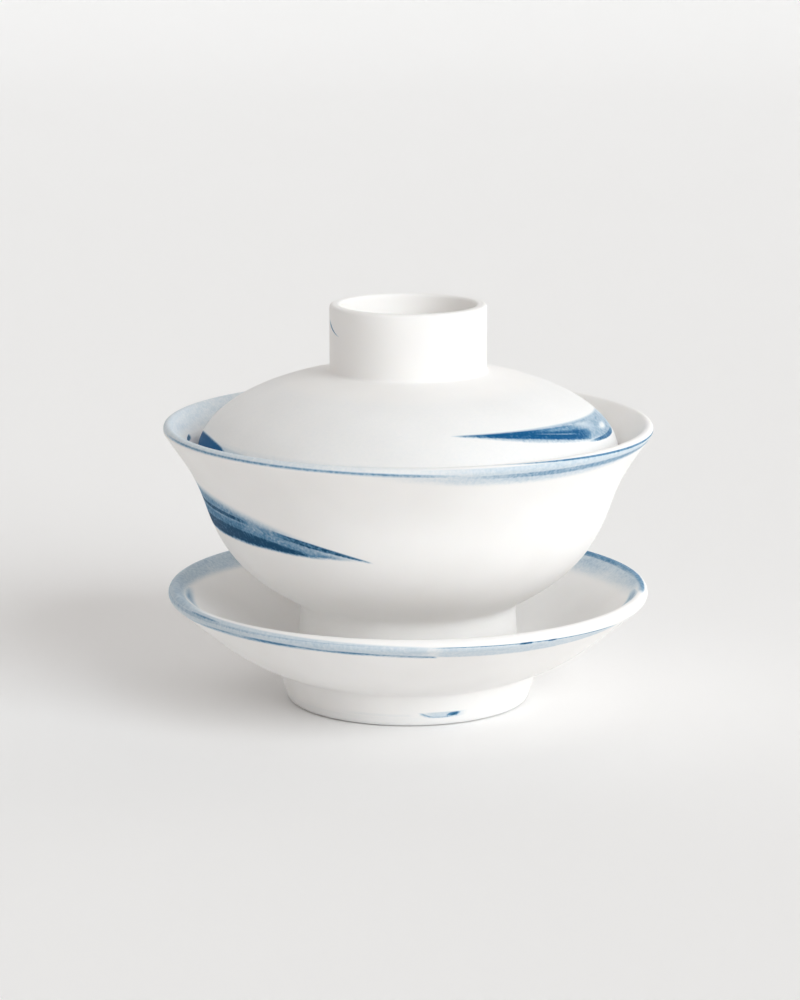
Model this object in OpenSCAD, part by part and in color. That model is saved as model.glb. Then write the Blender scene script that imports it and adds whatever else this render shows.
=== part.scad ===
// Gaiwan: a lidded tea bowl on a saucer. Three loose pieces, each turned about the Z axis.
// The saucer's foot stands on z = 0.

/* [Bowl] */
// Diameter over the flared lip
bowl_d = 105; // [98:0.5:112]
// Diameter of the waist, where the belly turns into the flare
waist_d = 87.4; // [84:0.2:90]
// Diameter of the foot where it meets the belly
bowl_foot_d = 46.4; // [42:0.2:48]
// Height from the foot's rim to the top of the lip
bowl_h = 50.7; // [48:0.1:56]
// Height of the foot
bowl_foot_h = 11.4; // [9:0.1:13]
// Thickness of the wall at the foot
bowl_wall = 2.9; // [2.4:0.1:3.2]
// Thickness of the lip
lip_t = 2.2; // [1.8:0.1:2.6]

/* [Lid] */
// Diameter over the lid's edge
lid_d = 90.8; // [89:0.2:91]
// Height of the dome from the lid's edge to the knob
dome_h = 18; // [15:0.1:21]
// Thickness of the dome
lid_wall = 2.3; // [1.8:0.1:2.8]
// Outer diameter of the ring knob
knob_d = 33.6; // [28:0.2:38]
// Height of the ring knob above the dome
knob_h = 14.5; // [10:0.2:18]
// Thickness of the ring knob
knob_wall = 2.4; // [2:0.1:3]

/* [Saucer] */
// Diameter over the lip
saucer_d = 103.8; // [98:0.2:110]
// Height from the floor to the top of the lip
saucer_h = 25.2; // [23:0.1:27]
// Diameter of the foot ring where it meets the floor
foot_d = 52.6; // [51:0.2:54]
// Height of the foot ring
foot_h = 7.5; // [6.6:0.1:8]
// Thickness of the rim
rim_wall = 2.9; // [2.4:0.1:3.4]
// Height of the flat seat that carries the bowl
seat_z = 10; // [9.6:0.1:11]

/* [Fit] */
// Gap between the bowl's foot and the seat
seat_gap = 0.05; // [0.02:0.01:0.2]
// Gap all round between the lid's edge and the bowl's wall
lid_gap = 0.12; // [0.05:0.01:0.3]

/* [Hidden] */
steps = 14;
porcelain = [0.93, 0.92, 0.90];

// Angles of the outlines, measured up from the level
belly_a = 27;
waist_a = 72;
flare_a = 55;
seat_a = 24;
dome_a = 171;
edge_a = 90;
under_a = 18;
rim_a = 37;

// The bowl stands on the seat.
bowl_z = seat_z + seat_gap;
bowl_top = bowl_z + bowl_h;
foot_top = bowl_z + bowl_foot_h;
waist = [waist_d / 2, foot_top + 0.56 * (bowl_top - foot_top)];
lip_c = [bowl_d / 2 - lip_t / 2, bowl_top - lip_t / 2];
bowl_foot_r = bowl_foot_d / 2;
foot_flare = 0.7;
foot_wall = 3;
bevel = 0.5;
recess_top = bowl_z + bowl_foot_h - 3;
floor_z = foot_top + 0.2;

// The seat is a shallow recess a little wider than the bowl's foot.
well_r = bowl_foot_r + foot_flare + 0.9;
well_depth = 1;
rim_c = [saucer_d / 2 - rim_wall / 2, saucer_h - rim_wall / 2];
saucer_foot_r = foot_d / 2;
saucer_foot_wall = 3.4;
band_h = 2.5;
band_step = 0.25;

knob_r = knob_d / 2;
knob_fillet = 0.8;
knob_edge = 0.8;

// ---- Curves ---------------------------------------------------------------
function way(a) = [cos(a), sin(a)];

function cubic(a, b, c, d, t) =
    pow(1 - t, 3) * a + 3 * t * pow(1 - t, 2) * b + 3 * t * t * (1 - t) * c + pow(t, 3) * d;

// A curve from a to b that leaves along a_dir and arrives along b_dir. The pulls set how far
// it keeps each direction.
function bend(a, a_dir, a_pull, b, b_dir, b_pull, n = steps) =
    [for (i = [0:n]) cubic(a, a + a_pull * way(a_dir), b - b_pull * way(b_dir), b, i / n)];

function arc(c, r, from, to, n = 8) =
    [for (i = [0:n]) c + r * way(from + (to - from) * i / n)];

function tail(c) = [for (i = [1:len(c) - 1]) c[i]];
function trim(c) = [for (i = [0:len(c) - 2]) c[i]];
function back(c) = [for (i = [len(c) - 1:-1:0]) c[i]];
function last(c) = c[len(c) - 1];

// The unit normal on the left of a curve at its point i
function left(c, i) =
    let (d = c[min(i + 1, len(c) - 1)] - c[max(i - 1, 0)]) [-d[1], d[0]] / norm(d);

// The other face of a wall whose thickness goes evenly from t0 to t1 along the curve c
function other_face(c, t0, t1) =
    [for (i = [0:len(c) - 1]) c[i] + (t0 + (t1 - t0) * i / (len(c) - 1)) * left(c, i)];

// ---- Saucer ---------------------------------------------------------------
saucer_foot_top = [saucer_foot_r + 2.3, foot_h];

function saucer_foot() = concat(
    [[saucer_foot_r - saucer_foot_wall, 0],
     [saucer_foot_r - bevel, 0],
     [saucer_foot_r, bevel],
     [saucer_foot_r + 0.45, band_h],
     [saucer_foot_r + 0.45 + band_step, band_h + band_step]],
    trim(bend([saucer_foot_r + 1.2, foot_h - 2.4], 84, 1.5, saucer_foot_top, under_a, 1.2, 6)));

function saucer_under() =
    bend(saucer_foot_top, under_a, 10.8, rim_c + rim_wall / 2 * way(rim_a - 90), rim_a, 10);

module saucer() {
    under = saucer_under();
    top = back(other_face(under, (seat_z + well_depth - foot_h) / cos(under_a), rim_wall));
    well = [well_r, seat_z];
    recess = seat_z - 4;
    inner = saucer_foot_r - saucer_foot_wall;
    color(porcelain)
        rotate_extrude()
            polygon(concat(
                saucer_foot(),
                under,
                tail(arc(rim_c, rim_wall / 2, rim_a - 90, rim_a + 90)),
                tail(top),
                bend(last(top), 200, 0.8, well, 250, 0.6, 5),
                [[0, seat_z], [0, recess]],
                arc([inner - 1.5, recess - 1.5], 1.5, 90, 0, 5)));
}

// ---- Bowl -----------------------------------------------------------------
function bowl_side() = concat(
    bend([bowl_foot_r, foot_top], belly_a, 0.65 * (waist[0] - bowl_foot_r),
         waist, waist_a, 0.5 * (waist[1] - foot_top)),
    tail(bend(waist, waist_a, 0.43 * (bowl_top - waist[1]),
              lip_c + lip_t / 2 * way(flare_a - 90), flare_a, 0.4 * (bowl_top - waist[1]))));

function bowl_inside() = back(other_face(bowl_side(), bowl_wall, lip_t));

module bowl() {
    inside = bowl_inside();
    foot_out = bowl_foot_r + foot_flare;
    inner = foot_out - foot_wall;
    color(porcelain)
        rotate_extrude()
            polygon(concat(
                [[inner, bowl_z], [foot_out - bevel, bowl_z], [foot_out, bowl_z + bevel]],
                bowl_side(),
                tail(arc(lip_c, lip_t / 2, flare_a - 90, flare_a + 90)),
                tail(inside),
                tail(bend(last(inside), 180 + belly_a, 7, [0, floor_z], 180, 10)),
                [[0, recess_top]],
                arc([inner - 2, recess_top - 2], 2, 90, 0, 5)));
}

// ---- Lid ------------------------------------------------------------------
// The lid hangs by its round edge on the flared wall, so the wall's height at that radius
// sets the lid's height.
edge_r = lid_wall / 2;
touch_r = lid_d / 2 - edge_r + (edge_r + lid_gap) * cos(seat_a);
edge_c = [lid_d / 2 - edge_r, lookup(touch_r, bowl_inside()) + (edge_r + lid_gap) * sin(seat_a)];
knob_z = edge_c[1] + dome_h;

function dome() =
    bend([lid_d / 2, edge_c[1]], edge_a, 0.56 * dome_h,
         [knob_r + knob_fillet, knob_z], dome_a, 13);

module lid() {
    under = back(other_face(dome(), lid_wall, lid_wall));
    middle = [0, knob_z - lid_wall + 1.1];
    knob_top = knob_z + knob_h;
    knob_in = knob_r - knob_wall;
    knob_floor = knob_z + 1.2;
    color(porcelain)
        rotate_extrude()
            polygon(concat(
                dome(),
                tail(bend(last(dome()), dome_a, 0.5, [knob_r, knob_z + knob_fillet], 90, 0.4, 5)),
                arc([knob_r - knob_edge, knob_top - knob_edge], knob_edge, 0, 90, 5),
                arc([knob_in + knob_edge, knob_top - knob_edge], knob_edge, 90, 180, 5),
                arc([knob_in - 1.5, knob_floor + 1.5], 1.5, 0, -90, 5),
                [[0, knob_floor]],
                bend(middle, 0, 8, under[0], dome_a - 180, 6, 6),
                tail(under),
                tail(trim(arc(edge_c, edge_r, edge_a + 90, edge_a + 270)))));
}

saucer();
bowl();
lid();
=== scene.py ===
"""A gaiwan in marbled porcelain: a lidded tea bowl on a saucer, with its studio stage.

Each piece is turned from the outline of its CAD node, and takes its blue clay from strokes that are
laid round the axis, as a thrower's hands would draw them.
"""

import math
from typing import NamedTuple

import bmesh
import bpy
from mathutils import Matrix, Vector


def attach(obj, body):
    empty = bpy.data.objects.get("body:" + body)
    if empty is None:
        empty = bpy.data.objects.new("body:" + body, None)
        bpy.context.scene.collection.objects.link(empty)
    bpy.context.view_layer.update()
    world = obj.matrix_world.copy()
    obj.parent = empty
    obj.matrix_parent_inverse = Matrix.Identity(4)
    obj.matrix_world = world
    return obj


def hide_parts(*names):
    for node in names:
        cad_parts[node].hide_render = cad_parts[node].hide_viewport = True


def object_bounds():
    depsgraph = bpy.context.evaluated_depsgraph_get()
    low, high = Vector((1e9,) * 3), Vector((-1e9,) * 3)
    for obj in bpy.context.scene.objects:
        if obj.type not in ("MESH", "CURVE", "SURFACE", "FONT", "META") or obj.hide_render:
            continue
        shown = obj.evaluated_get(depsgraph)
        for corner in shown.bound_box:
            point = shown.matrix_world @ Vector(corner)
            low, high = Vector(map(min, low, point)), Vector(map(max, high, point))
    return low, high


bl_info = {
    "name": "Marbled porcelain gaiwan",
    "version": (1, 0, 0),
    "blender": (4, 5, 0),
    "location": "View3D > Sidebar > Gaiwan",
    "description": "Builds a lidded tea bowl and its saucer round a fixed frame",
    "category": "Object",
}

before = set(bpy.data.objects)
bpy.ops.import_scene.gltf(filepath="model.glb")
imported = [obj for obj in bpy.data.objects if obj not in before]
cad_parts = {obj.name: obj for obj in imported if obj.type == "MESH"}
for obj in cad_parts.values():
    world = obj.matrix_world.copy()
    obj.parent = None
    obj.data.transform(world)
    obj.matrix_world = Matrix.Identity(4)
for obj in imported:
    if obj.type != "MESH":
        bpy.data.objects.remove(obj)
CAD_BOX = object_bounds()

MM = 0.001
FULL_TURN = 2 * math.pi

# Turning
WELD = 0.002 * MM  # vertices closer than this are one
CUT = 0.001 * MM  # how near a vertex counts as lying on the cutting plane
STRAIGHT = math.radians(0.4)  # a bend smaller than this is a straight line

# How the clay is drawn out, as noise per metre round the piece and per millimetre across it
DRAWN_ROUND = 70.0
DRAWN_ACROSS = 1.5

# Strokes
LEAST_WIDTH = 0.25  # mm, under which the streaks no longer close up
STREAKS_ALONG = 0.11  # noise per degree
STREAKS_ACROSS = 3.2  # noise from the lower edge to the upper one
STREAKS_APART = 1.7  # keeps the streaks of two strokes from being alike
RAGGED_TIP = 0.12  # share of the sweep by which the far end is ragged
UNEVENNESS = 2.4  # how far the streaks change the strength

# Share of blue at which each clay begins and is reached
PALE_RANGE = (0.0, 0.42)
MIDDLE_RANGE = (0.3, 0.72)
DEEP_RANGE = (0.62, 1.0)
GRAININESS = 0.9

# Body
CLOUD_SHARE = 0.35
CLOUD_TONE = (0.80, 0.79, 0.78, 1)
SPECK_SHARE = 0.55
SPECK_TONE = (0.30, 0.26, 0.23, 1)
SPECK_RARITY = 0.955
SPECK_RADII = (0.012, 0.034)  # in cells of the speck pattern
DULLING_RANGE = 0.08  # how much rougher the clouds are
BISQUE = {
    "IOR": 1.5,
    "Specular IOR Level": 0.12,
    "Subsurface Weight": 0.08,
    "Subsurface Radius": (1.0, 0.8, 0.6),
    "Subsurface Scale": 2 * MM,
}

# Stage
WINDOW_SPREAD = 40  # degrees, so that shadows have no edges
WINDOW_COLOUR = (0.935, 0.978, 1.0)
SIDE_COLOUR = (1.0, 0.97, 0.94)
ROOM_COLOUR = (1.0, 0.965, 0.935, 1)
BOUNCE_COLOUR = (1.0, 0.95, 0.91, 1)
BOUNCE_EDGE = (-0.05, 0.12)  # metres, from the left to where the bounce is full
BOUNCE_REACH = (0.25, 0.7)  # metres from the axis to where it ends
PAPER_TONE = (0.7, 0.69, 0.68, 1)


# ---- Settings ---------------------------------------------------------------
def colour_setting(name, description, default):
    """A colour that the user can change."""
    return bpy.props.FloatVectorProperty(
        name=name,
        description=description,
        subtype="COLOR",
        size=4,
        min=0,
        max=1,
        default=default,
    )


class GaiwanClaySettings(bpy.types.PropertyGroup):
    """Colours and fineness of the porcelain."""

    body: colour_setting("Body", "Colour of the white clay", (0.93, 0.92, 0.908, 1))
    pale: colour_setting(
        "Pale wash", "Colour where a little blue is mixed in", (0.52, 0.62, 0.70, 1)
    )
    mid: colour_setting("Middle blue", "Colour of a well mixed streak", (0.10, 0.25, 0.41, 1))
    deep: colour_setting(
        "Deep blue", "Colour of the pure blue clay of the saucer", (0.004, 0.08, 0.19, 1)
    )
    # Painted shade and painted light: the bowl's deep blue is a darker, greyer copy of the one blue
    # clay for the bowl's shaded left side, and the lid's is a brighter, bluer copy for the lid's
    # lit right side
    deep_bowl_shaded: colour_setting(
        "Deep blue of the bowl",
        "Colour of the pure blue clay of the bowl",
        (0.003, 0.060, 0.142, 1),
    )
    deep_lid_lit: colour_setting(
        "Deep blue of the lid", "Colour of the pure blue clay of the lid", (0.001, 0.092, 0.245, 1)
    )
    roughness: bpy.props.FloatProperty(
        name="Roughness",
        description="Roughness of the unglazed surface",
        default=0.55,
        min=0,
        max=1,
    )
    segments: bpy.props.IntProperty(
        name="Segments",
        description="Faces round each piece before it is subdivided",
        default=112,
        min=24,
        max=160,
    )
    longest_step: bpy.props.FloatProperty(
        name="Longest step",
        description="Longest face along the outline before it is subdivided",
        default=3 * MM,
        min=0.5 * MM,
        unit="LENGTH",
    )


class GaiwanStageSettings(bpy.types.PropertyGroup):
    """The camera, the lights and the floor."""

    distance: bpy.props.FloatProperty(
        name="Distance",
        description="From the camera to the middle of the gaiwan",
        default=0.69,
        min=0.2,
        unit="LENGTH",
    )
    elevation: bpy.props.FloatProperty(
        name="Elevation",
        description="Height of the camera above the horizon",
        default=math.radians(11.95),
        subtype="ANGLE",
    )
    target: bpy.props.FloatProperty(
        name="Target",
        description="Height that the camera looks at",
        default=43.3 * MM,
        unit="LENGTH",
    )
    lens: bpy.props.FloatProperty(
        name="Lens",
        description="Focal length on a 36 mm sensor",
        default=115.2,
        min=20,
    )
    side_step: bpy.props.FloatProperty(
        name="Side step",
        description="How far the camera stands to the left of the axis",
        default=1.75 * MM,
        unit="LENGTH",
    )
    floor: colour_setting("Floor", "Colour of the floor and backdrop", (0.93, 0.925, 0.922, 1))
    window: bpy.props.FloatProperty(
        name="Window",
        description="Strength of the light from the front and right",
        default=1.97,
        min=0,
    )
    side: bpy.props.FloatProperty(
        name="Side window",
        description="Strength of the low light from the right and behind",
        default=0.7,
        min=0,
    )
    bounce: bpy.props.FloatProperty(
        name="Bounce",
        description="Light that the floor gives to the undersides beyond what it shows",
        default=0.13,
        min=0,
    )
    fill: bpy.props.FloatProperty(
        name="Room light",
        description="Strength of the even light of the room",
        default=0.53,
        min=0,
    )


# ---- Node helpers -----------------------------------------------------------
def add(tree, kind, values=None, **settings):
    """A new node with its settings, and with each input either set or linked."""
    node = tree.nodes.new(kind)
    for name, value in settings.items():
        setattr(node, name, value)
    for name, value in (values or {}).items():
        if isinstance(value, bpy.types.NodeSocket):
            tree.links.new(value, node.inputs[name])
        else:
            node.inputs[name].default_value = value
    return node


def maths(tree, operation, *terms):
    """The result of a Math node."""
    return add(
        tree, "ShaderNodeMath", dict(enumerate(terms)), operation=operation
    ).outputs[0]


def ease(tree, value, low, high):
    """0 below low, 1 above high, and a smooth rise between."""
    node = add(
        tree,
        "ShaderNodeMapRange",
        {"Value": value, "From Min": low, "From Max": high},
        interpolation_type="SMOOTHSTEP",
    )
    return node.outputs["Result"]


def blend(tree, factor, a, b, blend_type="MIX"):
    """Colour a turning into colour b."""
    node = add(tree, "ShaderNodeMix", data_type="RGBA", blend_type=blend_type)
    for name, value in (("Factor", factor), ("A", a), ("B", b)):
        socket = next(
            s
            for s in node.inputs
            if s.name == name and s.type == ("VALUE" if name == "Factor" else "RGBA")
        )
        if isinstance(value, bpy.types.NodeSocket):
            tree.links.new(value, socket)
        else:
            socket.default_value = value
    return next(s for s in node.outputs if s.type == "RGBA")


def new_group(name, inputs, outputs):
    """An empty shader group with named sockets. Inputs are (name, kind, default)."""
    tree = bpy.data.node_groups.new(name, "ShaderNodeTree")
    for label, kind, default in inputs:
        socket = tree.interface.new_socket(
            label, in_out="INPUT", socket_type="NodeSocket" + kind
        )
        if default is not None:
            socket.default_value = default
    for label, kind in outputs:
        tree.interface.new_socket(
            label, in_out="OUTPUT", socket_type="NodeSocket" + kind
        )
    return (
        tree,
        tree.nodes.new("NodeGroupInput").outputs,
        tree.nodes.new("NodeGroupOutput").inputs,
    )


def use_group(tree, name, values=None):
    """A copy of a finished group, placed in a material or another group."""
    node = tree.nodes.new("ShaderNodeGroup")
    node.node_tree = bpy.data.node_groups[name]
    for label, value in (values or {}).items():
        if isinstance(value, bpy.types.NodeSocket):
            tree.links.new(value, node.inputs[label])
        else:
            node.inputs[label].default_value = value
    return node.outputs


# ---- Shared groups ----------------------------------------------------------
def build_place_group():
    """Where a point lies on a turned piece, and the noises that follow the turning."""
    tree, _, out = new_group(
        "Turned place",
        [],
        [
            ("Angle", "Float"),
            ("Girth", "Float"),
            ("Fibre", "Float"),
            ("Speckle", "Float"),
        ],
    )
    point = add(tree, "ShaderNodeTexCoord").outputs["Object"]
    axes = add(tree, "ShaderNodeSeparateXYZ", {"Vector": point}).outputs
    girth = add(
        tree, "ShaderNodeAttribute", attribute_type="GEOMETRY", attribute_name="girth"
    ).outputs["Fac"]
    turned = maths(tree, "ARCTAN2", axes["X"], maths(tree, "MULTIPLY", axes["Y"], -1.0))
    tree.links.new(maths(tree, "DEGREES", turned), out["Angle"])
    tree.links.new(girth, out["Girth"])
    # Long round the piece and short across it, as clay is drawn out on the wheel
    along = {
        "X": maths(tree, "MULTIPLY", axes["X"], DRAWN_ROUND),
        "Y": maths(tree, "MULTIPLY", axes["Y"], DRAWN_ROUND),
        "Z": maths(tree, "MULTIPLY", girth, DRAWN_ACROSS),
    }
    drawn = add(tree, "ShaderNodeCombineXYZ", along).outputs["Vector"]
    fibre = add(
        tree,
        "ShaderNodeTexNoise",
        {"Vector": drawn, "Scale": 1.0, "Detail": 4.0, "Roughness": 0.62},
    )
    tree.links.new(fibre.outputs["Fac"], out["Fibre"])
    speckle = add(
        tree,
        "ShaderNodeTexNoise",
        {"Vector": point, "Scale": 1500.0, "Detail": 2.0, "Roughness": 0.6},
    )
    tree.links.new(speckle.outputs["Fac"], out["Speckle"])


def build_stroke_group():
    """One stroke of blue clay: it starts at an angle, sweeps round, and lies between two edges.

    Each edge is a height along the outline at the start, at the bend and at the end of the sweep.
    The streaks inside it run along it and close up where it narrows.
    """
    tree, given, out = new_group(
        "Clay stroke",
        [
            ("Angle", "Float", 0.0),
            ("Girth", "Float", 0.0),
            ("Speckle", "Float", 0.5),
            ("Start", "Float", 0.0),
            ("Sweep", "Float", 90.0),
            ("Upper edge", "Vector", (0, 0, 0)),
            ("Lower edge", "Vector", (0, 0, 0)),
            ("Upper feather", "Float", 0.3),
            ("Lower feather", "Float", 0.3),
            ("Fade in", "Float", 0.05),
            ("Fade out", "Float", 0.3),
            ("Round end", "Float", 0.0),
            ("Streaks", "Float", 0.3),
            ("Strength", "Float", 1.0),
        ],
        [("Density", "Float")],
    )
    turn = maths(tree, "SUBTRACT", given["Angle"], given["Start"])
    way = maths(tree, "SIGN", given["Sweep"])
    turn = maths(tree, "FLOORED_MODULO", maths(tree, "MULTIPLY", turn, way), 360.0)
    t = maths(tree, "DIVIDE", turn, maths(tree, "ABSOLUTE", given["Sweep"]))
    rest = maths(tree, "SUBTRACT", 1.0, t)
    shares = {
        "X": maths(tree, "MULTIPLY", rest, rest),
        "Y": maths(tree, "MULTIPLY", maths(tree, "MULTIPLY", rest, t), 2.0),
        "Z": maths(tree, "MULTIPLY", t, t),
    }
    bend = add(tree, "ShaderNodeCombineXYZ", shares).outputs["Vector"]
    upper, lower = (
        add(
            tree,
            "ShaderNodeVectorMath",
            {0: bend, 1: given[name]},
            operation="DOT_PRODUCT",
        ).outputs["Value"]
        for name in ("Upper edge", "Lower edge")
    )
    width = maths(tree, "MAXIMUM", maths(tree, "SUBTRACT", upper, lower), LEAST_WIDTH)
    across = maths(tree, "SUBTRACT", given["Girth"], lower)
    across = maths(tree, "DIVIDE", across, width)
    drawn = {
        "X": maths(tree, "MULTIPLY", turn, STREAKS_ALONG),
        "Y": maths(tree, "MULTIPLY", across, STREAKS_ACROSS),
        "Z": maths(tree, "MULTIPLY", given["Start"], STREAKS_APART),
    }
    fibre = add(
        tree,
        "ShaderNodeTexNoise",
        {
            "Vector": add(tree, "ShaderNodeCombineXYZ", drawn).outputs["Vector"],
            "Scale": 1.0,
            "Detail": 2.0,
            "Roughness": 0.6,
        },
    ).outputs["Fac"]
    fibre = maths(tree, "SUBTRACT", fibre, 0.5)
    grain = maths(tree, "SUBTRACT", given["Speckle"], 0.5)
    ragged = maths(tree, "MULTIPLY", maths(tree, "ADD", fibre, grain), given["Streaks"])
    moved = maths(tree, "ADD", given["Girth"], ragged)
    above = maths(tree, "SUBTRACT", upper, moved)
    below = maths(tree, "SUBTRACT", moved, lower)
    mask = maths(
        tree,
        "MULTIPLY",
        ease(tree, above, 0.0, given["Upper feather"]),
        ease(tree, below, 0.0, given["Lower feather"]),
    )
    mask = maths(tree, "MULTIPLY", mask, ease(tree, t, 0.0, given["Fade in"]))
    side = maths(tree, "MULTIPLY_ADD", across, 2.0, -1.0)
    corner = maths(tree, "MULTIPLY", maths(tree, "MULTIPLY", side, side), given["Round end"])
    tip = maths(tree, "MULTIPLY", fibre, RAGGED_TIP)
    reach = maths(tree, "ADD", maths(tree, "ADD", t, corner), tip)
    fading = ease(tree, reach, maths(tree, "SUBTRACT", 1.0, given["Fade out"]), 1.0)
    mask = maths(tree, "MULTIPLY", mask, maths(tree, "SUBTRACT", 1.0, fading))
    uneven = maths(tree, "MULTIPLY", fibre, UNEVENNESS)
    uneven = maths(tree, "MULTIPLY", uneven, given["Streaks"])
    mask = maths(tree, "MULTIPLY", mask, maths(tree, "ADD", 1.0, uneven))
    tree.links.new(maths(tree, "MULTIPLY", mask, given["Strength"]), out["Density"])


def build_clay_group():
    """The colour of the clay from the share of blue in it."""
    tree, given, out = new_group(
        "Clay colour",
        [
            ("Density", "Float", 0.0),
            ("Speckle", "Float", 0.5),
            ("Body", "Color", None),
            ("Pale", "Color", None),
            ("Middle", "Color", None),
            ("Deep", "Color", None),
        ],
        [("Color", "Color")],
    )
    grain = maths(tree, "SUBTRACT", given["Speckle"], 0.5)
    uneven = maths(tree, "MULTIPLY_ADD", grain, GRAININESS, 1.0)
    density = maths(tree, "MULTIPLY", given["Density"], uneven)
    colour = given["Body"]
    for clay, span in (("Pale", PALE_RANGE), ("Middle", MIDDLE_RANGE), ("Deep", DEEP_RANGE)):
        colour = blend(tree, ease(tree, density, *span), colour, given[clay])
    tree.links.new(colour, out["Color"])


def build_body_group():
    """Unglazed porcelain: slow changes of tone, a few specks and pinholes, and a fine grain."""
    tree, given, out = new_group(
        "Porcelain body",
        [("Color", "Color", None), ("Fibre", "Float", 0.5)],
        [("Color", "Color"), ("Height", "Float"), ("Dulling", "Float")],
    )
    point = add(tree, "ShaderNodeTexCoord").outputs["Object"]
    cloud = add(
        tree,
        "ShaderNodeTexNoise",
        {"Vector": point, "Scale": 28.0, "Detail": 3.0, "Roughness": 0.5},
    ).outputs["Fac"]
    shade = ease(tree, cloud, 0.3, 0.75)
    colour = blend(
        tree,
        maths(tree, "MULTIPLY", shade, CLOUD_SHARE),
        given["Color"],
        CLOUD_TONE,
        "MULTIPLY",
    )
    cells = add(
        tree,
        "ShaderNodeTexVoronoi",
        {"Vector": point, "Scale": 120.0, "Randomness": 1.0},
    )
    chosen = add(
        tree, "ShaderNodeTexWhiteNoise", {"Vector": cells.outputs["Position"]}
    ).outputs["Value"]
    rare = maths(tree, "GREATER_THAN", chosen, SPECK_RARITY)
    clear = ease(tree, cells.outputs["Distance"], *SPECK_RADII)
    dot = maths(tree, "SUBTRACT", 1.0, clear)
    speck = maths(tree, "MULTIPLY", dot, rare)
    colour = blend(tree, maths(tree, "MULTIPLY", speck, SPECK_SHARE), colour, SPECK_TONE)
    grain = add(
        tree,
        "ShaderNodeTexNoise",
        {"Vector": point, "Scale": 2600.0, "Detail": 2.0, "Roughness": 0.7},
    ).outputs["Fac"]
    height = maths(
        tree, "MULTIPLY_ADD", given["Fibre"], 0.35, maths(tree, "MULTIPLY", grain, 0.3)
    )
    height = maths(tree, "SUBTRACT", height, maths(tree, "MULTIPLY", speck, 0.9))
    tree.links.new(colour, out["Color"])
    tree.links.new(height, out["Height"])
    tree.links.new(shade, out["Dulling"])


# ---- Strokes ----------------------------------------------------------------
class Stroke(NamedTuple):
    """One stroke of blue clay. Angles are in degrees, 0 at the front and growing to the right."""

    start: float  # angle of its near end
    sweep: float  # angle that it goes round, negative to the left
    upper: tuple  # its upper edge at the start, at the bend and at the end, in mm
    lower: tuple  # its lower edge, measured in the same way
    feathers: tuple  # how soft the upper and the lower edge are, in mm
    fades: tuple  # the share of the sweep over which it fades in, and out
    streaks: float  # how uneven it is
    strength: float  # share of blue, or below 0 for white clay that takes blue away
    round_end: float = 0.0  # how round its far end is


# Edges are measured along the outline: up from the lid's widest edge, or inwards over the top of a
# lip and negative outside it.
BOWL_STROKES = {
    "dart_wash": Stroke(
        start=-8.5,
        sweep=-111.5,
        upper=(-25.7, -8.6, -12.4),
        lower=(-25.7, -25.2, -22.4),
        feathers=(3.4, 0.9),
        fades=(0.02, 0.4),
        streaks=0.2,
        strength=0.6,
    ),
    "dart_upper_tail": Stroke(
        start=-9,
        sweep=-42.5,
        upper=(-25.4, -20.1, -18.2),
        lower=(-26.0, -23.2, -19.8),
        feathers=(0.5, 0.8),
        fades=(0.06, 0.45),
        streaks=0.2,
        strength=0.84,
    ),
    "dart_line": Stroke(
        start=-38,
        sweep=-62,
        upper=(-19.8, -16.4, -17.8),
        lower=(-21.0, -18.2, -18.9),
        feathers=(0.35, 0.4),
        fades=(0.3, 0.3),
        streaks=0.12,
        strength=0.92,
    ),
    "dart_middle": Stroke(
        start=-30,
        sweep=-74,
        upper=(-21.0, -17.6, -18.8),
        lower=(-23.4, -22.2, -21.8),
        feathers=(0.8, 1.2),
        fades=(0.35, 0.4),
        streaks=0.15,
        strength=0.72,
    ),
    "dart_body": Stroke(
        start=-19,
        sweep=-100,
        upper=(-25.2, -14.2, -24.9),
        lower=(-25.9, -24.8, -24.2),
        feathers=(1.9, 1.2),
        fades=(0.08, 0.35),
        streaks=0.2,
        strength=1.0,
    ),
    "rim_line_left": Stroke(
        start=26,
        sweep=-124,
        upper=(-2.35, -0.45, -1.0),
        lower=(-3.55, -1.65, -2.2),
        feathers=(0.6, 0.6),
        fades=(0.25, 0.3),
        streaks=0.05,
        strength=0.6,
    ),
    "rim_line_right": Stroke(
        start=-12,
        sweep=120,
        upper=(-1.3, -3.2, -1.05),
        lower=(-2.6, -8.6, -0.8),
        feathers=(1.0, 1.2),
        fades=(0.38, 0.2),
        streaks=0.08,
        strength=0.54,
    ),
    "rim_wash": Stroke(
        start=-20,
        sweep=110,
        upper=(-0.6, -1.06, -1.25),
        lower=(-3.0, -11.7, -1.6),
        feathers=(0.5, 2.4),
        fades=(0.4, 0.25),
        streaks=0.25,
        strength=0.3,
    ),
    "lip_line": Stroke(
        start=10,
        sweep=100,
        upper=(0.25, -2.06, -1.64),
        lower=(-0.3, -3.05, -1.97),
        feathers=(0.2, 0.26),
        fades=(0.3, 0.22),
        streaks=0.05,
        strength=0.7,
    ),
    "lip_tint": Stroke(
        start=50,
        sweep=-210,
        upper=(0.8, 2.0, 1.2),
        lower=(-2.6, -1.8, -1.8),
        feathers=(0.8, 0.7),
        fades=(0.5, 0.3),
        streaks=0.12,
        strength=0.27,
    ),
    "inner_wash": Stroke(
        start=-50,
        sweep=-130,
        upper=(1.0, 13.0, 8.0),
        lower=(-0.4, -0.5, -0.4),
        feathers=(4.5, 0.5),
        fades=(0.12, 0.35),
        streaks=0.3,
        strength=0.25,
    ),
    "inner_mark": Stroke(
        start=-89.5,
        sweep=-9,
        upper=(6.4, 7.0, 6.4),
        lower=(5.9, 5.4, 5.0),
        feathers=(0.4, 0.4),
        fades=(0.35, 0.35),
        streaks=0.1,
        strength=0.8,
    ),
    "back_dart": Stroke(
        start=118,
        sweep=74,
        upper=(-16.4, -12.0, -15.0),
        lower=(-16.7, -18.6, -17.2),
        feathers=(1.0, 0.5),
        fades=(0.04, 0.4),
        streaks=0.3,
        strength=0.8,
    ),
}
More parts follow.
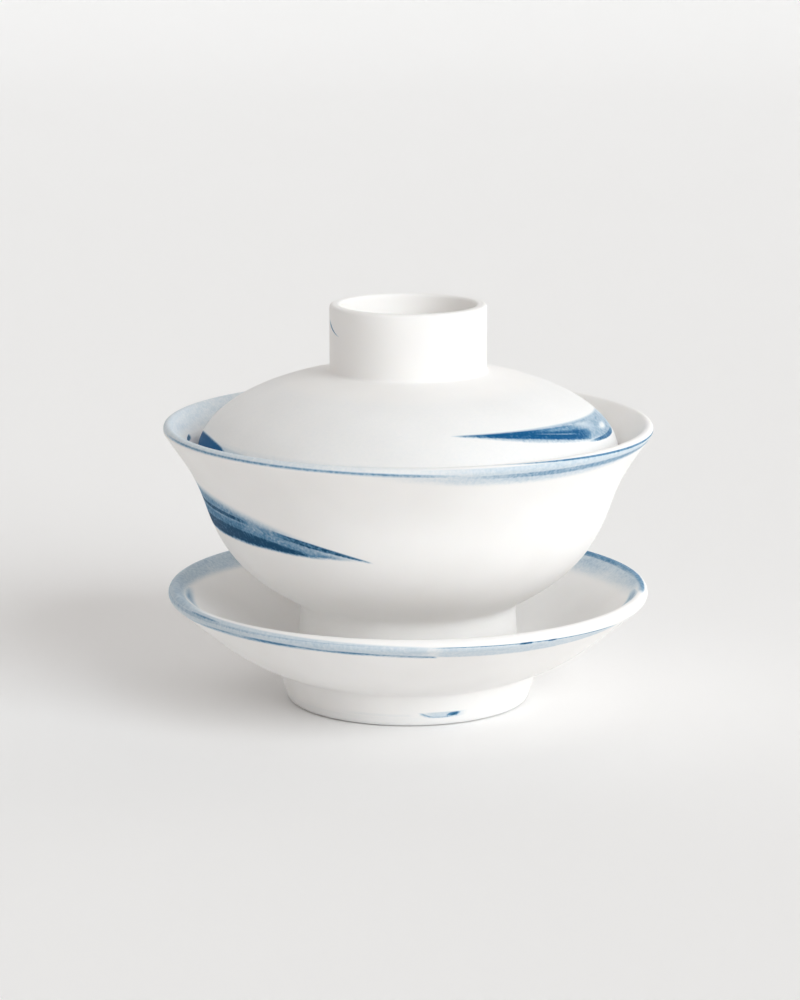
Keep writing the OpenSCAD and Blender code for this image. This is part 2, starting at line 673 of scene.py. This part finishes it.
LID_STROKES = {
    "dart_wash": Stroke(
        start=12,
        sweep=100,
        upper=(14.1, 14.34, 10.75),
        lower=(13.6, 3.72, 5.4),
        feathers=(1.1, 1.3),
        fades=(0.07, 0.26),
        round_end=0.1,
        streaks=0.2,
        strength=0.47,
    ),
    "dart_core": Stroke(
        start=12,
        sweep=63,
        upper=(13.8, 14.0, 11.6),
        lower=(13.2, 9.9, 4.9),
        feathers=(0.8, 0.9),
        fades=(0.02, 0.26),
        round_end=0.12,
        streaks=0.2,
        strength=1.0,
    ),
    "dart_thin": Stroke(
        start=36,
        sweep=38,
        upper=(13.6, 13.0, 11.4),
        lower=(12.3, 10.4, 8.6),
        feathers=(0.7, 1.0),
        fades=(0.35, 0.35),
        streaks=0.25,
        strength=-0.36,
    ),
    "dart_light": Stroke(
        start=38,
        sweep=24,
        upper=(12.4, 10.9, 9.3),
        lower=(12.1, 10.5, 8.7),
        feathers=(0.12, 0.18),
        fades=(0.3, 0.35),
        streaks=0.05,
        strength=-0.42,
    ),
    "dart_band": Stroke(
        start=58,
        sweep=38,
        upper=(7.8, 6.7, 7.3),
        lower=(7.0, 4.9, 5.9),
        feathers=(0.4, 0.45),
        fades=(0.3, 0.4),
        streaks=0.2,
        strength=0.84,
    ),
    "dart_gap": Stroke(
        start=73,
        sweep=11,
        upper=(9.4, 10.4, 9.2),
        lower=(8.2, 7.0, 8.0),
        feathers=(1.0, 0.9),
        fades=(0.4, 0.4),
        streaks=0.2,
        strength=-0.7,
    ),
    "edge_streak": Stroke(
        start=-57,
        sweep=-61,
        upper=(5.1, 10.2, -2.2),
        lower=(4.5, 3.6, -3.6),
        feathers=(0.9, 0.35),
        fades=(0.12, 0.3),
        streaks=0.14,
        strength=1.1,
    ),
    "edge_wash": Stroke(
        start=-36,
        sweep=-92,
        upper=(5.4, 9.2, 1.5),
        lower=(4.0, 0.5, -1.6),
        feathers=(1.6, 0.4),
        fades=(0.2, 0.3),
        streaks=0.4,
        strength=0.34,
    ),
    "front_wash": Stroke(
        start=40,
        sweep=-160,
        upper=(6.4, 9.0, 7.0),
        lower=(0.4, -1.0, 0.6),
        feathers=(2.4, 0.6),
        fades=(0.35, 0.35),
        streaks=0.4,
        strength=0.16,
    ),
    "dome_tint": Stroke(
        start=180,
        sweep=400,
        upper=(31, 31, 31),
        lower=(-1, -1, -1),
        feathers=(8, 0.8),
        fades=(0.0001, 0.05),
        streaks=0.1,
        strength=0.08,
    ),
    "knob_streak": Stroke(
        start=-58,
        sweep=-27,
        upper=(44.5, 45.2, 48.7),
        lower=(44.3, 44.5, 47.2),
        feathers=(0.3, 0.35),
        fades=(0.1, 0.35),
        streaks=0.15,
        strength=0.72,
    ),
    "back_wisp": Stroke(
        start=140,
        sweep=66,
        upper=(20.2, 23.6, 19.2),
        lower=(20.0, 19.0, 18.4),
        feathers=(1.6, 0.6),
        fades=(0.06, 0.4),
        streaks=0.4,
        strength=0.62,
    ),
}
SAUCER_STROKES = {
    "outer_wash_left": Stroke(
        start=11,
        sweep=-193,
        upper=(-1.75, 1.9, 0.4),
        lower=(-6.2, -1.8, -5.6),
        feathers=(0.7, 0.7),
        fades=(0.05, 0.25),
        streaks=0.25,
        strength=0.3,
    ),
    "outer_band_left": Stroke(
        start=11,
        sweep=-152,
        upper=(-1.7, -0.4, -0.8),
        lower=(-2.2, -1.8, -3.4),
        feathers=(0.5, 0.4),
        fades=(0.12, 0.3),
        streaks=0.3,
        strength=0.42,
    ),
    "outer_edge_left": Stroke(
        start=7.4,
        sweep=-95,
        upper=(-4.9, -0.2, -3.7),
        lower=(-6.6, -3.0, -4.4),
        feathers=(0.7, 1.1),
        fades=(0.02, 0.45),
        streaks=0.4,
        strength=0.56,
    ),
    "outer_patch_a": Stroke(
        start=-18,
        sweep=-30,
        upper=(-3.2, -2.2, -2.3),
        lower=(-4.2, -4.6, -3.7),
        feathers=(0.6, 1.1),
        fades=(0.35, 0.45),
        streaks=0.2,
        strength=0.74,
    ),
    "outer_patch_b": Stroke(
        start=-3,
        sweep=-21,
        upper=(-4.0, -2.8, -2.9),
        lower=(-5.5, -5.7, -4.6),
        feathers=(0.6, 1.1),
        fades=(0.4, 0.45),
        streaks=0.2,
        strength=0.66,
    ),
    # Painted shadow: a dark blue spot just under the saucer's lip at the front left, where the lip
    # shades the outside
    "painted_lip_shadow": Stroke(
        start=-44,
        sweep=-24,
        upper=(-1.0, -0.5, -0.8),
        lower=(-1.5, -2.0, -1.5),
        feathers=(0.35, 0.5),
        fades=(0.35, 0.4),
        streaks=0.2,
        strength=0.58,
    ),
    "outer_wash_right": Stroke(
        start=2,
        sweep=66,
        upper=(-2.0, -2.4, -3.8),
        lower=(-5.6, -8.5, -3.9),
        feathers=(0.3, 0.9),
        fades=(0.1, 0.3),
        streaks=0.2,
        strength=0.28,
    ),
    "outer_line_right": Stroke(
        start=3,
        sweep=61,
        upper=(-1.9, -2.2, -3.4),
        lower=(-2.25, -2.65, -3.85),
        feathers=(0.14, 0.2),
        fades=(0.1, 0.25),
        streaks=0.08,
        strength=0.66,
    ),
    "outer_spot_a": Stroke(
        start=25,
        sweep=5,
        upper=(-2.25, -2.15, -2.3),
        lower=(-2.7, -3.0, -2.75),
        feathers=(0.15, 0.2),
        fades=(0.3, 0.3),
        streaks=0.1,
        strength=0.95,
    ),
    "outer_spot_b": Stroke(
        start=32.6,
        sweep=4,
        upper=(-2.45, -2.35, -2.5),
        lower=(-2.85, -3.1, -2.9),
        feathers=(0.15, 0.2),
        fades=(0.3, 0.3),
        streaks=0.1,
        strength=0.95,
    ),
    "inner_wash_left": Stroke(
        start=-46,
        sweep=-169,
        upper=(0.8, 9.2, 7.9),
        lower=(-1.6, -1.4, -0.8),
        feathers=(2.6, 0.6),
        fades=(0.14, 0.25),
        streaks=0.2,
        strength=0.38,
    ),
    "inner_patch": Stroke(
        start=-64,
        sweep=-36,
        upper=(5.4, 6.6, 5.4),
        lower=(2.2, 0.8, 2.2),
        feathers=(2.4, 2.4),
        fades=(0.45, 0.45),
        streaks=0.2,
        strength=0.56,
    ),
    "inner_edge_right": Stroke(
        start=77,
        sweep=79,
        upper=(1.4, 3.2, 2.8),
        lower=(-0.9, -0.8, -0.6),
        feathers=(1.9, 0.6),
        fades=(0.08, 0.3),
        streaks=0.2,
        strength=0.64,
    ),
    "inner_wash_right": Stroke(
        start=70,
        sweep=94,
        upper=(4.0, 11.5, 8.0),
        lower=(-0.6, -0.4, -0.4),
        feathers=(5.5, 0.6),
        fades=(0.25, 0.3),
        streaks=0.4,
        strength=0.34,
    ),
    "inner_spot": Stroke(
        start=60,
        sweep=34,
        upper=(2.4, 4.8, 3.8),
        lower=(0.2, -0.2, 1.0),
        feathers=(1.6, 1.3),
        fades=(0.45, 0.45),
        streaks=0.3,
        strength=0.5,
    ),
    "foot_spot": Stroke(
        start=14.5,
        sweep=11.5,
        upper=(-36.4, -35.7, -36.0),
        lower=(-36.7, -36.9, -36.4),
        feathers=(0.35, 0.4),
        fades=(0.45, 0.35),
        streaks=0.12,
        strength=0.84,
    ),
    "foot_tail": Stroke(
        start=3.5,
        sweep=18,
        upper=(-35.7, -36.8, -36.3),
        lower=(-36.2, -37.3, -36.9),
        feathers=(0.25, 0.3),
        fades=(0.2, 0.2),
        streaks=0.15,
        strength=0.6,
    ),
    "foot_halo": Stroke(
        start=3,
        sweep=27,
        upper=(-35.5, -35.7, -35.5),
        lower=(-37.0, -37.9, -37.0),
        feathers=(0.6, 0.9),
        fades=(0.35, 0.35),
        streaks=0.15,
        strength=0.3,
    ),
    "foot_line": Stroke(
        start=4,
        sweep=-46,
        upper=(-36.1, -36.1, -36.1),
        lower=(-36.6, -36.6, -36.6),
        feathers=(0.2, 0.2),
        fades=(0.1, 0.5),
        streaks=0.05,
        strength=0.09,
    ),
    "foot_tint": Stroke(
        start=180,
        sweep=400,
        upper=(-36.4, -36.4, -36.4),
        lower=(-40.5, -40.5, -40.5),
        feathers=(0.3, 0.8),
        fades=(0.0001, 0.05),
        streaks=0.2,
        strength=0.07,
    ),
}


# ---- Materials --------------------------------------------------------------
def make_porcelain(slot, strokes, deep):
    """White porcelain with the given strokes of blue clay worked into it."""
    clay = bpy.context.scene.gaiwan_clay
    material = bpy.data.materials.new(slot)
    material.use_nodes = True
    tree = material.node_tree
    shader = tree.nodes["Principled BSDF"]
    place = use_group(tree, "Turned place")
    shared = {k: place[k] for k in ("Angle", "Girth", "Speckle")}
    density = None
    for stroke in strokes.values():
        values = {
            "Start": stroke.start,
            "Sweep": stroke.sweep,
            "Upper edge": stroke.upper,
            "Lower edge": stroke.lower,
            "Upper feather": stroke.feathers[0],
            "Lower feather": stroke.feathers[1],
            "Fade in": stroke.fades[0],
            "Fade out": stroke.fades[1],
            "Round end": stroke.round_end,
            "Streaks": stroke.streaks,
            "Strength": abs(stroke.strength),
        }
        laid = use_group(tree, "Clay stroke", shared | values)["Density"]
        if density is None:
            density = laid
        elif stroke.strength > 0:
            density = maths(tree, "MAXIMUM", density, laid)
        else:
            kept = maths(tree, "SUBTRACT", 1.0, laid)
            density = maths(tree, "MULTIPLY", density, kept)
    body = use_group(
        tree, "Porcelain body", {"Color": tuple(clay.body), "Fibre": place["Fibre"]}
    )
    colour = use_group(
        tree,
        "Clay colour",
        {
            "Density": density,
            "Speckle": place["Speckle"],
            "Body": body["Color"],
            "Pale": tuple(clay.pale),
            "Middle": tuple(clay.mid),
            "Deep": tuple(deep),
        },
    )["Color"]
    tree.links.new(colour, shader.inputs["Base Color"])
    dull = maths(tree, "MULTIPLY_ADD", body["Dulling"], DULLING_RANGE, clay.roughness)
    tree.links.new(dull, shader.inputs["Roughness"])
    bump = add(
        tree,
        "ShaderNodeBump",
        {"Height": body["Height"], "Strength": 0.25, "Distance": 0.08 * MM},
    )
    tree.links.new(bump.outputs["Normal"], shader.inputs["Normal"])
    for name, value in BISQUE.items():
        shader.inputs[name].default_value = value
    return material


# ---- Pieces -----------------------------------------------------------------
def half_outline(bm, node):
    """Fills bm with the outline of a turned CAD node, from its lower pole to its upper one."""
    bm.from_mesh(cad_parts[node].data)
    bmesh.ops.remove_doubles(bm, verts=bm.verts, dist=WELD)
    for normal, both in (((0, 1, 0), True), ((1, 0, 0), False)):
        bmesh.ops.bisect_plane(
            bm,
            geom=bm.verts[:] + bm.edges[:] + bm.faces[:],
            dist=CUT,
            plane_co=(0, 0, 0),
            plane_no=normal,
            clear_inner=True,
            clear_outer=both,
        )
    bmesh.ops.remove_doubles(bm, verts=bm.verts, dist=WELD)
    loose = [v for v in bm.verts if not v.link_edges]
    bmesh.ops.delete(bm, geom=loose, context="VERTS")
    straight = [
        v
        for v in bm.verts
        if len(v.link_edges) == 2 and v.calc_edge_angle(0) < STRAIGHT
    ]
    bmesh.ops.dissolve_verts(bm, verts=straight)


def walk_outline(bm):
    """The vertices of an open outline in order, from the lower pole."""
    ends = [v for v in bm.verts if len(v.link_edges) == 1]
    here, edge = min(ends, key=lambda v: v.co.z), None
    order = [here]
    while True:
        ahead = [e for e in here.link_edges if e is not edge]
        if not ahead:
            return order
        edge = ahead[0]
        here = edge.other_vert(here)
        order.append(here)


def turn_piece(name, node, body, slot, measured_from, strokes, deep):
    """Turns a CAD node's outline into a smooth piece that rides on its body."""
    clay = bpy.context.scene.gaiwan_clay
    bm = bmesh.new()
    half_outline(bm, node)
    for edge in [e for e in bm.edges if e.calc_length() > clay.longest_step]:
        bmesh.ops.subdivide_edges(
            bm, edges=[edge], cuts=int(edge.calc_length() / clay.longest_step)
        )
    girth = bm.verts.layers.float.new("girth")
    order = walk_outline(bm)
    for before, vert in zip(order, order[1:]):
        vert[girth] = before[girth] + (vert.co - before.co).length / MM
    origin = max(order, key=measured_from)[girth]
    for vert in order:
        vert[girth] -= origin
    bmesh.ops.spin(
        bm,
        geom=bm.verts[:] + bm.edges[:],
        cent=(0, 0, 0),
        axis=(0, 0, 1),
        dvec=(0, 0, 0),
        angle=FULL_TURN,
        steps=clay.segments,
        use_merge=True,
    )
    bmesh.ops.remove_doubles(bm, verts=bm.verts, dist=WELD)
    bmesh.ops.recalc_face_normals(bm, faces=bm.faces)
    for face in bm.faces:
        face.smooth = True
    mesh = bpy.data.meshes.new(name)
    bm.to_mesh(mesh)
    bm.free()
    piece = bpy.data.objects.new(name, mesh)
    bpy.context.collection.objects.link(piece)
    smooth = piece.modifiers.new("Smooth", "SUBSURF")
    smooth.levels = smooth.render_levels = 1
    mesh.materials.append(make_porcelain(slot, strokes, deep))
    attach(piece, body)
    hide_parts(node)
    return piece


def highest(vert):
    """How high a vertex is: the top of a lip is the highest."""
    return vert.co.z


def widest(vert):
    """How far out a vertex is: the lid's edge is the widest."""
    return vert.co.x


class GAIWAN_OT_clays(bpy.types.Operator):
    """Make the shared node groups of the clay"""

    bl_idname = "gaiwan.clays"
    bl_label = "Mix the clays"

    def execute(self, context):
        build_place_group()
        build_stroke_group()
        build_clay_group()
        build_body_group()
        return {"FINISHED"}


class GAIWAN_OT_saucer(bpy.types.Operator):
    """Turn the saucer"""

    bl_idname = "gaiwan.saucer"
    bl_label = "Turn the saucer"

    def execute(self, context):
        deep = context.scene.gaiwan_clay.deep
        turn_piece(
            "turned_saucer", "saucer", "saucer", "saucer_porcelain", highest, SAUCER_STROKES, deep
        )
        return {"FINISHED"}


class GAIWAN_OT_bowl(bpy.types.Operator):
    """Turn the bowl"""

    bl_idname = "gaiwan.bowl"
    bl_label = "Turn the bowl"

    def execute(self, context):
        # The bowl takes the darker copy of the deep blue, painted shade
        deep = context.scene.gaiwan_clay.deep_bowl_shaded
        turn_piece(
            "turned_bowl", "bowl", "bowl", "bowl_porcelain", highest, BOWL_STROKES, deep
        )
        return {"FINISHED"}


class GAIWAN_OT_lid(bpy.types.Operator):
    """Turn the lid with its ring knob"""

    bl_idname = "gaiwan.lid"
    bl_label = "Turn the lid"

    def execute(self, context):
        # The lid takes the brighter copy of the deep blue, painted light
        deep = context.scene.gaiwan_clay.deep_lid_lit
        turn_piece(
            "turned_lid", "lid", "lid", "lid_porcelain", widest, LID_STROKES, deep
        )
        return {"FINISHED"}


# ---- Stage ------------------------------------------------------------------
def make_sweep(stage):
    """A floor that curves up into a backdrop, with no line between them."""
    half_width, front, back, bend, height = 3.0, -2.5, 1.6, 1.2, 3.0
    bm = bmesh.new()
    a = bm.verts.new((-half_width, front, 0))
    b = bm.verts.new((half_width, front, 0))
    edge = bm.edges.new((a, b))
    floor = bmesh.ops.extrude_edge_only(bm, edges=[edge])["geom"]
    moved = [g for g in floor if isinstance(g, bmesh.types.BMVert)]
    bmesh.ops.translate(bm, verts=moved, vec=(0, back - front, 0))
    edges = [g for g in floor if isinstance(g, bmesh.types.BMEdge)]
    far = [e for e in edges if all(v in moved for v in e.verts)]
    curve = bmesh.ops.spin(
        bm,
        geom=far + moved,
        cent=(0, back, bend),
        axis=(1, 0, 0),
        dvec=(0, 0, 0),
        angle=math.pi / 2,
        steps=24,
    )["geom_last"]
    top = [g for g in curve if isinstance(g, bmesh.types.BMEdge)]
    wall = bmesh.ops.extrude_edge_only(bm, edges=top)["geom"]
    bmesh.ops.translate(
        bm,
        verts=[g for g in wall if isinstance(g, bmesh.types.BMVert)],
        vec=(0, 0, height),
    )
    bmesh.ops.recalc_face_normals(bm, faces=bm.faces)
    for face in bm.faces:
        face.smooth = True
    mesh = bpy.data.meshes.new("floor_sweep")
    bm.to_mesh(mesh)
    bm.free()
    sweep = bpy.data.objects.new("floor_sweep", mesh)
    bpy.context.collection.objects.link(sweep)
    material = bpy.data.materials.new("floor_paper")
    material.use_nodes = True
    tree = material.node_tree
    shader = tree.nodes["Principled BSDF"]
    point = add(tree, "ShaderNodeTexCoord").outputs["Object"]
    cloud = add(
        tree, "ShaderNodeTexNoise", {"Vector": point, "Scale": 3.0, "Detail": 2.0}
    ).outputs["Fac"]
    tone = maths(tree, "MULTIPLY", cloud, 0.04)
    colour = blend(tree, tone, tuple(stage.floor), PAPER_TONE)
    tree.links.new(colour, shader.inputs["Base Color"])
    shader.inputs["Roughness"].default_value = 0.9
    shader.inputs["Specular IOR Level"].default_value = 0.15
    # To the right of the piece the floor lights the undersides, as a reflector lying there would
    seen = add(tree, "ShaderNodeLightPath").outputs["Is Camera Ray"]
    unseen = maths(tree, "SUBTRACT", 1.0, seen)
    axes = add(tree, "ShaderNodeSeparateXYZ", {"Vector": point}).outputs
    away = add(tree, "ShaderNodeVectorMath", {0: point}, operation="LENGTH").outputs["Value"]
    near = maths(tree, "SUBTRACT", 1.0, ease(tree, away, *BOUNCE_REACH))
    patch = maths(tree, "MULTIPLY", ease(tree, axes["X"], *BOUNCE_EDGE), near)
    glow = maths(tree, "MULTIPLY", maths(tree, "MULTIPLY", unseen, patch), stage.bounce)
    tree.links.new(glow, shader.inputs["Emission Strength"])
    shader.inputs["Emission Color"].default_value = BOUNCE_COLOUR
    mesh.materials.append(material)


def make_sun(name, strength, azimuth, elevation, colour):
    """A soft light from far off. Azimuth 0 is the right, and minus 90 degrees is the front."""
    data = bpy.data.lights.new(name, "SUN")
    data.energy = strength
    data.angle = math.radians(WINDOW_SPREAD)
    data.color = colour
    lamp = bpy.data.objects.new(name, data)
    turn, rise = math.radians(azimuth), math.radians(elevation)
    towards = Vector(
        (
            math.cos(rise) * math.cos(turn),
            math.cos(rise) * math.sin(turn),
            math.sin(rise),
        )
    )
    lamp.location = towards
    lamp.rotation_euler = (-towards).to_track_quat("-Z", "Y").to_euler()
    bpy.context.collection.objects.link(lamp)


class GAIWAN_OT_stage(bpy.types.Operator):
    """Set the camera, the lights and the floor"""

    bl_idname = "gaiwan.stage"
    bl_label = "Set the stage"

    def execute(self, context):
        scene = context.scene
        stage = scene.gaiwan_stage
        low, high = CAD_BOX
        middle = (low + high) / 2
        data = bpy.data.cameras.new("camera")
        data.lens = stage.lens
        data.sensor_width = 36
        data.clip_start = 0.02
        camera = bpy.data.objects.new("camera", data)
        rise = stage.elevation
        camera.location = (
            middle.x - stage.side_step,
            middle.y - stage.distance * math.cos(rise),
            low.z + stage.target + stage.distance * math.sin(rise),
        )
        camera.rotation_euler = (math.pi / 2 - rise, 0, 0)
        context.collection.objects.link(camera)
        scene.camera = camera
        make_sweep(stage)
        make_sun("window", stage.window, azimuth=-45, elevation=26, colour=WINDOW_COLOUR)
        make_sun("side_window", stage.side, azimuth=35, elevation=8, colour=SIDE_COLOUR)
        world = bpy.data.worlds.new("room")
        world.use_nodes = True
        room = world.node_tree.nodes["Background"].inputs
        room["Color"].default_value = ROOM_COLOUR
        room["Strength"].default_value = stage.fill
        scene.world = world
        scene.view_settings.view_transform = "Standard"
        return {"FINISHED"}


class GAIWAN_PT_panel(bpy.types.Panel):
    """The settings and the steps of the gaiwan"""

    bl_idname = "GAIWAN_PT_panel"
    bl_label = "Gaiwan"
    bl_space_type = "VIEW_3D"
    bl_region_type = "UI"
    bl_category = "Gaiwan"

    def draw(self, context):
        for group in (context.scene.gaiwan_clay, context.scene.gaiwan_stage):
            box = self.layout.box()
            for name in group.__annotations__:
                box.prop(group, name)
        for step in STEPS:
            self.layout.operator(step.bl_idname)


STEPS = (
    GAIWAN_OT_clays,
    GAIWAN_OT_saucer,
    GAIWAN_OT_bowl,
    GAIWAN_OT_lid,
    GAIWAN_OT_stage,
)
CLASSES = (GaiwanClaySettings, GaiwanStageSettings, *STEPS, GAIWAN_PT_panel)


def register():
    """Adds the classes and the scene's settings."""
    for cls in CLASSES:
        bpy.utils.register_class(cls)
    bpy.types.Scene.gaiwan_clay = bpy.props.PointerProperty(type=GaiwanClaySettings)
    bpy.types.Scene.gaiwan_stage = bpy.props.PointerProperty(type=GaiwanStageSettings)


def unregister():
    """Takes them away again."""
    del bpy.types.Scene.gaiwan_stage
    del bpy.types.Scene.gaiwan_clay
    for cls in reversed(CLASSES):
        bpy.utils.unregister_class(cls)


def main():
    register()
    bpy.ops.gaiwan.clays()
    bpy.ops.gaiwan.saucer()
    bpy.ops.gaiwan.bowl()
    bpy.ops.gaiwan.lid()
    bpy.ops.gaiwan.stage()
    bpy.context.view_layer.update()


if __name__ == "__main__":
    main()
